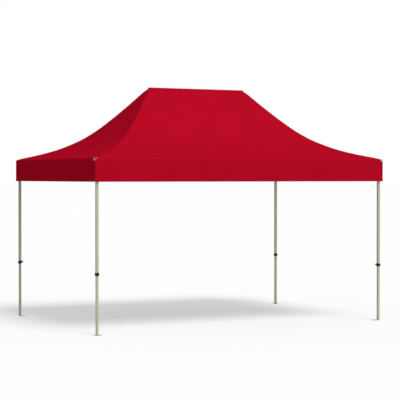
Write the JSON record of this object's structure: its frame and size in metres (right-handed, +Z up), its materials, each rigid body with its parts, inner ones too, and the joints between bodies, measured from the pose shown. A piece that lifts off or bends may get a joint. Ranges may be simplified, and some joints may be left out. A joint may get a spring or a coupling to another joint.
{
  "type": "pop up gazebo",
  "caption": "Free-standing folding gazebo with a hipped fabric roof and valance on a scissor frame and telescopic square legs.",
  "frame": {"origin": "on the floor under the middle of the roof", "axes": "+X along the long side, to the right seen from the front; +Y along the short side, away from the front; +Z up"},
  "size_m": [4.5, 3.056, 3.353],
  "materials": {
    "canopy_cloth": "matt woven polyester",
    "bar_paint": "beige powder coat",
    "leg_paint": "beige powder coat",
    "post_metal": "satin",
    "bracket_plastic": "moulded, fine grain",
    "button_plastic": "smooth"
  },
  "bodies": {
    "hub_left": {"hub_upper_left": "bracket_plastic", "canopy": "canopy_cloth"},
    "hub_right": {"hub_upper_right": "bracket_plastic"},
    "post_left": {"post_left": "post_metal"},
    "post_right": {"post_right": "post_metal"},
    "tee_left_upper": {"tee_left_upper": "bracket_plastic"},
    "tee_left_lower": {"tee_left_lower": "bracket_plastic"},
    "tee_right_upper": {"tee_right_upper": "bracket_plastic"},
    "tee_right_lower": {"tee_right_lower": "bracket_plastic"},
    "bar_ridge_1_falling": {"bar_ridge_1_falling": "bar_paint"},
    "bar_ridge_1_rising": {"bar_ridge_1_rising": "bar_paint"},
    "bar_ridge_2_falling": {"bar_ridge_2_falling": "bar_paint"},
    "bar_ridge_2_rising": {"bar_ridge_2_rising": "bar_paint"},
    "bar_ridge_3_falling": {"bar_ridge_3_falling": "bar_paint"},
    "bar_ridge_3_rising": {"bar_ridge_3_rising": "bar_paint"},
    "bar_left_1_falling": {"bar_left_1_falling": "bar_paint"},
    "bar_left_1_rising": {"bar_left_1_rising": "bar_paint"},
    "bar_left_2_falling": {"bar_left_2_falling": "bar_paint"},
    "bar_left_2_rising": {"bar_left_2_rising": "bar_paint"},
    "bar_right_1_falling": {"bar_right_1_falling": "bar_paint"},
    "bar_right_1_rising": {"bar_right_1_rising": "bar_paint"},
    "bar_right_2_falling": {"bar_right_2_falling": "bar_paint"},
    "bar_right_2_rising": {"bar_right_2_rising": "bar_paint"},
    "bar_front_1_falling": {"bar_front_1_falling": "bar_paint"},
    "bar_front_1_rising": {"bar_front_1_rising": "bar_paint"},
    "bar_front_2_falling": {"bar_front_2_falling": "bar_paint"},
    "bar_front_2_rising": {"bar_front_2_rising": "bar_paint"},
    "bar_front_3_falling": {"bar_front_3_falling": "bar_paint"},
    "bar_front_3_rising": {"bar_front_3_rising": "bar_paint"},
    "bar_back_1_falling": {"bar_back_1_falling": "bar_paint"},
    "bar_back_1_rising": {"bar_back_1_rising": "bar_paint"},
    "bar_back_2_falling": {"bar_back_2_falling": "bar_paint"},
    "bar_back_2_rising": {"bar_back_2_rising": "bar_paint"},
    "bar_back_3_falling": {"bar_back_3_falling": "bar_paint"},
    "bar_back_3_rising": {"bar_back_3_rising": "bar_paint"},
    "leg_front_left": {"leg_upper_front_left": "leg_paint", "collar_front_left": "bracket_plastic"},
    "leg_front_right": {"leg_upper_front_right": "leg_paint", "collar_front_right": "bracket_plastic"},
    "leg_back_right": {"leg_upper_back_right": "leg_paint", "collar_back_right": "bracket_plastic"},
    "leg_back_left": {"leg_upper_back_left": "leg_paint", "collar_back_left": "bracket_plastic"},
    "slider_front_left": {"slider_front_left": "bracket_plastic"},
    "slider_front_right": {"slider_front_right": "bracket_plastic"},
    "slider_back_right": {"slider_back_right": "bracket_plastic"},
    "slider_back_left": {"slider_back_left": "bracket_plastic"},
    "leg_lower_front_left": {"leg_lower_front_left": "leg_paint"},
    "leg_lower_front_right": {"leg_lower_front_right": "leg_paint"},
    "leg_lower_back_right": {"leg_lower_back_right": "leg_paint"},
    "leg_lower_back_left": {"leg_lower_back_left": "leg_paint"},
    "collar_knob_front_left": {"collar_knob_front_left": "bracket_plastic"},
    "collar_knob_front_right": {"collar_knob_front_right": "bracket_plastic"},
    "collar_knob_back_right": {"collar_knob_back_right": "bracket_plastic"},
    "collar_knob_back_left": {"collar_knob_back_left": "bracket_plastic"},
    "slider_button_front_left": {"slider_button_front_left": "button_plastic"},
    "slider_button_front_right": {"slider_button_front_right": "button_plastic"},
    "slider_button_back_right": {"slider_button_back_right": "button_plastic"},
    "slider_button_back_left": {"slider_button_back_left": "button_plastic"}
  },
  "joints": [
    {"name": "frame_fold", "type": "hinge", "parent": "hub_left", "child": "bar_ridge_2_falling", "pos_m": [-0.722, 0, 2.3], "axis": [0, 1, 0], "range_deg": [0, 77.8], "deforming": ["canopy"]},
    {"name": "ridge_2_cross", "type": "hinge", "parent": "bar_ridge_2_falling", "child": "bar_ridge_2_rising", "pos_m": [0, 0, 2.195], "axis": [0, 1, 0], "range_deg": [-155.6, 0]},
    {"name": "hub_right_pivot", "type": "hinge", "parent": "bar_ridge_2_rising", "child": "hub_right", "pos_m": [0.722, 0, 2.3], "axis": [0, 1, 0], "range_deg": [0, 77.8]},
    {"name": "post_right_pivot", "type": "hinge", "parent": "bar_ridge_2_falling", "child": "post_right", "pos_m": [0.722, 0, 2.09], "axis": [0, 1, 0], "range_deg": [-77.8, 0]},
    {"name": "post_left_pivot", "type": "hinge", "parent": "bar_ridge_2_rising", "child": "post_left", "pos_m": [-0.722, 0, 2.09], "axis": [0, 1, 0], "range_deg": [0, 77.8]},
    {"name": "ridge_1_pivot", "type": "hinge", "parent": "hub_left", "child": "bar_ridge_1_rising", "pos_m": [-0.722, 0, 2.3], "axis": [0, 1, 0], "range_deg": [-77.8, 0]},
    {"name": "ridge_1_cross", "type": "hinge", "parent": "bar_ridge_1_rising", "child": "bar_ridge_1_falling", "pos_m": [-1.444, 0, 2.195], "axis": [0, 1, 0], "range_deg": [0, 155.6]},
    {"name": "tee_left_upper_pivot", "type": "hinge", "parent": "bar_ridge_1_falling", "child": "tee_left_upper", "pos_m": [-2.166, 0, 2.3], "axis": [0, 1, 0], "range_deg": [-77.8, 0]},
    {"name": "tee_left_lower_pivot", "type": "hinge", "parent": "bar_ridge_1_rising", "child": "tee_left_lower", "pos_m": [-2.166, 0, 2.09], "axis": [0, 1, 0], "range_deg": [0, 77.8]},
    {"name": "ridge_3_pivot", "type": "hinge", "parent": "bar_ridge_2_rising", "child": "bar_ridge_3_falling", "pos_m": [0.722, 0, 2.3], "axis": [0, 1, 0], "range_deg": [0, 155.6]},
    {"name": "ridge_3_cross", "type": "hinge", "parent": "bar_ridge_3_falling", "child": "bar_ridge_3_rising", "pos_m": [1.444, 0, 2.195], "axis": [0, 1, 0], "range_deg": [-155.6, 0]},
    {"name": "tee_right_upper_pivot", "type": "hinge", "parent": "bar_ridge_3_rising", "child": "tee_right_upper", "pos_m": [2.166, 0, 2.3], "axis": [0, 1, 0], "range_deg": [0, 77.8]},
    {"name": "tee_right_lower_pivot", "type": "hinge", "parent": "bar_ridge_3_falling", "child": "tee_right_lower", "pos_m": [2.166, 0, 2.09], "axis": [0, 1, 0], "range_deg": [-77.8, 0]},
    {"name": "left_2_pivot", "type": "hinge", "parent": "tee_left_upper", "child": "bar_left_2_falling", "pos_m": [-2.207, 0, 2.3], "axis": [1, 0, 0], "range_deg": [0, 77.8]},
    {"name": "left_2_cross", "type": "hinge", "parent": "bar_left_2_falling", "child": "bar_left_2_rising", "pos_m": [-2.207, -0.722, 2.195], "axis": [1, 0, 0], "range_deg": [-155.6, 0]},
    {"name": "leg_front_left_pivot", "type": "hinge", "parent": "bar_left_2_rising", "child": "leg_front_left", "pos_m": [-2.207, -1.444, 2.3], "axis": [1, 0, 0], "range_deg": [0, 77.8]},
    {"name": "slider_front_left_pivot", "type": "hinge", "parent": "bar_left_2_falling", "child": "slider_front_left", "pos_m": [-2.207, -1.444, 2.09], "axis": [1, 0, 0], "range_deg": [-77.8, 0]},
    {"name": "left_1_pivot", "type": "hinge", "parent": "tee_left_upper", "child": "bar_left_1_rising", "pos_m": [-2.207, 0, 2.3], "axis": [1, 0, 0], "range_deg": [-77.8, 0]},
    {"name": "left_1_cross", "type": "hinge", "parent": "bar_left_1_rising", "child": "bar_left_1_falling", "pos_m": [-2.207, 0.722, 2.195], "axis": [1, 0, 0], "range_deg": [0, 155.6]},
    {"name": "leg_back_left_pivot", "type": "hinge", "parent": "bar_left_1_falling", "child": "leg_back_left", "pos_m": [-2.207, 1.444, 2.3], "axis": [1, 0, 0], "range_deg": [-77.8, 0]},
    {"name": "slider_back_left_pivot", "type": "hinge", "parent": "bar_left_1_rising", "child": "slider_back_left", "pos_m": [-2.207, 1.444, 2.09], "axis": [1, 0, 0], "range_deg": [0, 77.8]},
    {"name": "right_2_pivot", "type": "hinge", "parent": "tee_right_upper", "child": "bar_right_2_falling", "pos_m": [2.207, 0, 2.3], "axis": [-1, 0, 0], "range_deg": [0, 77.8]},
    {"name": "right_2_cross", "type": "hinge", "parent": "bar_right_2_falling", "child": "bar_right_2_rising", "pos_m": [2.207, 0.722, 2.195], "axis": [-1, 0, 0], "range_deg": [-155.6, 0]},
    {"name": "leg_back_right_pivot", "type": "hinge", "parent": "bar_right_2_rising", "child": "leg_back_right", "pos_m": [2.207, 1.444, 2.3], "axis": [-1, 0, 0], "range_deg": [0, 77.8]},
    {"name": "slider_back_right_pivot", "type": "hinge", "parent": "bar_right_2_falling", "child": "slider_back_right", "pos_m": [2.207, 1.444, 2.09], "axis": [-1, 0, 0], "range_deg": [-77.8, 0]},
    {"name": "right_1_pivot", "type": "hinge", "parent": "tee_right_upper", "child": "bar_right_1_rising", "pos_m": [2.207, 0, 2.3], "axis": [-1, 0, 0], "range_deg": [-77.8, 0]},
    {"name": "right_1_cross", "type": "hinge", "parent": "bar_right_1_rising", "child": "bar_right_1_falling", "pos_m": [2.207, -0.722, 2.195], "axis": [-1, 0, 0], "range_deg": [0, 155.6]},
    {"name": "leg_front_right_pivot", "type": "hinge", "parent": "bar_right_1_falling", "child": "leg_front_right", "pos_m": [2.207, -1.444, 2.3], "axis": [-1, 0, 0], "range_deg": [-77.8, 0]},
    {"name": "slider_front_right_pivot", "type": "hinge", "parent": "bar_right_1_rising", "child": "slider_front_right", "pos_m": [2.207, -1.444, 2.09], "axis": [-1, 0, 0], "range_deg": [0, 77.8]},
    {"name": "front_1_pivot", "type": "hinge", "parent": "leg_front_left", "child": "bar_front_1_falling", "pos_m": [-2.166, -1.485, 2.3], "axis": [0, 1, 0], "range_deg": [0, 77.8]},
    {"name": "front_1_cross", "type": "hinge", "parent": "bar_front_1_falling", "child": "bar_front_1_rising", "pos_m": [-1.444, -1.485, 2.195], "axis": [0, 1, 0], "range_deg": [-155.6, 0]},
    {"name": "front_2_pivot", "type": "hinge", "parent": "bar_front_1_rising", "child": "bar_front_2_falling", "pos_m": [-0.722, -1.485, 2.3], "axis": [0, 1, 0], "range_deg": [0, 155.6]},
    {"name": "front_2_cross", "type": "hinge", "parent": "bar_front_2_falling", "child": "bar_front_2_rising", "pos_m": [0, -1.485, 2.195], "axis": [0, 1, 0], "range_deg": [-155.6, 0]},
    {"name": "front_3_pivot", "type": "hinge", "parent": "leg_front_right", "child": "bar_front_3_rising", "pos_m": [2.166, -1.485, 2.3], "axis": [0, 1, 0], "range_deg": [-77.8, 0]},
    {"name": "front_3_cross", "type": "hinge", "parent": "bar_front_3_rising", "child": "bar_front_3_falling", "pos_m": [1.444, -1.485, 2.195], "axis": [0, 1, 0], "range_deg": [0, 155.6]},
    {"name": "back_1_pivot", "type": "hinge", "parent": "leg_back_right", "child": "bar_back_1_falling", "pos_m": [2.166, 1.485, 2.3], "axis": [0, -1, 0], "range_deg": [0, 77.8]},
    {"name": "back_1_cross", "type": "hinge", "parent": "bar_back_1_falling", "child": "bar_back_1_rising", "pos_m": [1.444, 1.485, 2.195], "axis": [0, -1, 0], "range_deg": [-155.6, 0]},
    {"name": "back_2_pivot", "type": "hinge", "parent": "bar_back_1_rising", "child": "bar_back_2_falling", "pos_m": [0.722, 1.485, 2.3], "axis": [0, -1, 0], "range_deg": [0, 155.6]},
    {"name": "back_2_cross", "type": "hinge", "parent": "bar_back_2_falling", "child": "bar_back_2_rising", "pos_m": [0, 1.485, 2.195], "axis": [0, -1, 0], "range_deg": [-155.6, 0]},
    {"name": "back_3_pivot", "type": "hinge", "parent": "leg_back_left", "child": "bar_back_3_rising", "pos_m": [-2.166, 1.485, 2.3], "axis": [0, -1, 0], "range_deg": [-77.8, 0]},
    {"name": "back_3_cross", "type": "hinge", "parent": "bar_back_3_rising", "child": "bar_back_3_falling", "pos_m": [-1.444, 1.485, 2.195], "axis": [0, -1, 0], "range_deg": [0, 155.6]},
    {"name": "leg_slide_front_left", "type": "slide", "parent": "leg_front_left", "child": "leg_lower_front_left", "axis": [0, 0, 1], "range_m": [0, 0.7]},
    {"name": "leg_slide_front_right", "type": "slide", "parent": "leg_front_right", "child": "leg_lower_front_right", "axis": [0, 0, 1], "range_m": [0, 0.7]},
    {"name": "leg_slide_back_right", "type": "slide", "parent": "leg_back_right", "child": "leg_lower_back_right", "axis": [0, 0, 1], "range_m": [0, 0.7]},
    {"name": "leg_slide_back_left", "type": "slide", "parent": "leg_back_left", "child": "leg_lower_back_left", "axis": [0, 0, 1], "range_m": [0, 0.7]},
    {"name": "collar_knob_front_left_pull", "type": "slide", "parent": "leg_front_left", "child": "collar_knob_front_left", "axis": [0, 1, 0], "range_m": [0, 0.006], "stiffness_N_per_m": 600, "springref_m": -0.003},
    {"name": "collar_knob_front_right_pull", "type": "slide", "parent": "leg_front_right", "child": "collar_knob_front_right", "axis": [-1, 0, 0], "range_m": [0, 0.006], "stiffness_N_per_m": 600, "springref_m": -0.003},
    {"name": "collar_knob_back_right_pull", "type": "slide", "parent": "leg_back_right", "child": "collar_knob_back_right", "axis": [0, -1, 0], "range_m": [0, 0.006], "stiffness_N_per_m": 600, "springref_m": -0.003},
    {"name": "collar_knob_back_left_pull", "type": "slide", "parent": "leg_back_left", "child": "collar_knob_back_left", "axis": [1, 0, 0], "range_m": [0, 0.006], "stiffness_N_per_m": 600, "springref_m": -0.003},
    {"name": "slider_button_front_left_press", "type": "slide", "parent": "slider_front_left", "child": "slider_button_front_left", "axis": [0, -1, 0], "range_m": [0, 0.003], "stiffness_N_per_m": 800, "springref_m": -0.002},
    {"name": "slider_button_front_right_press", "type": "slide", "parent": "slider_front_right", "child": "slider_button_front_right", "axis": [1, 0, 0], "range_m": [0, 0.003], "stiffness_N_per_m": 800, "springref_m": -0.002},
    {"name": "slider_button_back_right_press", "type": "slide", "parent": "slider_back_right", "child": "slider_button_back_right", "axis": [0, 1, 0], "range_m": [0, 0.003], "stiffness_N_per_m": 800, "springref_m": -0.002},
    {"name": "slider_button_back_left_press", "type": "slide", "parent": "slider_back_left", "child": "slider_button_back_left", "axis": [-1, 0, 0], "range_m": [0, 0.003], "stiffness_N_per_m": 800, "springref_m": -0.002}
  ],
  "couplings": [
    {"joint": "ridge_2_cross", "follows": "frame_fold", "ratio": -2},
    {"joint": "hub_right_pivot", "follows": "frame_fold", "ratio": 1},
    {"joint": "post_right_pivot", "follows": "frame_fold", "ratio": -1},
    {"joint": "post_left_pivot", "follows": "frame_fold", "ratio": 1},
    {"joint": "ridge_1_pivot", "follows": "frame_fold", "ratio": -1},
    {"joint": "ridge_1_cross", "follows": "frame_fold", "ratio": 2},
    {"joint": "tee_left_upper_pivot", "follows": "frame_fold", "ratio": -1},
    {"joint": "tee_left_lower_pivot", "follows": "frame_fold", "ratio": 1},
    {"joint": "ridge_3_pivot", "follows": "frame_fold", "ratio": 2},
    {"joint": "ridge_3_cross", "follows": "frame_fold", "ratio": -2},
    {"joint": "tee_right_upper_pivot", "follows": "frame_fold", "ratio": 1},
    {"joint": "tee_right_lower_pivot", "follows": "frame_fold", "ratio": -1},
    {"joint": "left_2_pivot", "follows": "frame_fold", "ratio": 1},
    {"joint": "left_2_cross", "follows": "frame_fold", "ratio": -2},
    {"joint": "leg_front_left_pivot", "follows": "frame_fold", "ratio": 1},
    {"joint": "slider_front_left_pivot", "follows": "frame_fold", "ratio": -1},
    {"joint": "left_1_pivot", "follows": "frame_fold", "ratio": -1},
    {"joint": "left_1_cross", "follows": "frame_fold", "ratio": 2},
    {"joint": "leg_back_left_pivot", "follows": "frame_fold", "ratio": -1},
    {"joint": "slider_back_left_pivot", "follows": "frame_fold", "ratio": 1},
    {"joint": "right_2_pivot", "follows": "frame_fold", "ratio": 1},
    {"joint": "right_2_cross", "follows": "frame_fold", "ratio": -2},
    {"joint": "leg_back_right_pivot", "follows": "frame_fold", "ratio": 1},
    {"joint": "slider_back_right_pivot", "follows": "frame_fold", "ratio": -1},
    {"joint": "right_1_pivot", "follows": "frame_fold", "ratio": -1},
    {"joint": "right_1_cross", "follows": "frame_fold", "ratio": 2},
    {"joint": "leg_front_right_pivot", "follows": "frame_fold", "ratio": -1},
    {"joint": "slider_front_right_pivot", "follows": "frame_fold", "ratio": 1},
    {"joint": "front_1_pivot", "follows": "frame_fold", "ratio": 1},
    {"joint": "front_1_cross", "follows": "frame_fold", "ratio": -2},
    {"joint": "front_2_pivot", "follows": "frame_fold", "ratio": 2},
    {"joint": "front_2_cross", "follows": "frame_fold", "ratio": -2},
    {"joint": "front_3_pivot", "follows": "frame_fold", "ratio": -1},
    {"joint": "front_3_cross", "follows": "frame_fold", "ratio": 2},
    {"joint": "back_1_pivot", "follows": "frame_fold", "ratio": 1},
    {"joint": "back_1_cross", "follows": "frame_fold", "ratio": -2},
    {"joint": "back_2_pivot", "follows": "frame_fold", "ratio": 2},
    {"joint": "back_2_cross", "follows": "frame_fold", "ratio": -2},
    {"joint": "back_3_pivot", "follows": "frame_fold", "ratio": -1},
    {"joint": "back_3_cross", "follows": "frame_fold", "ratio": 2}
  ]
}
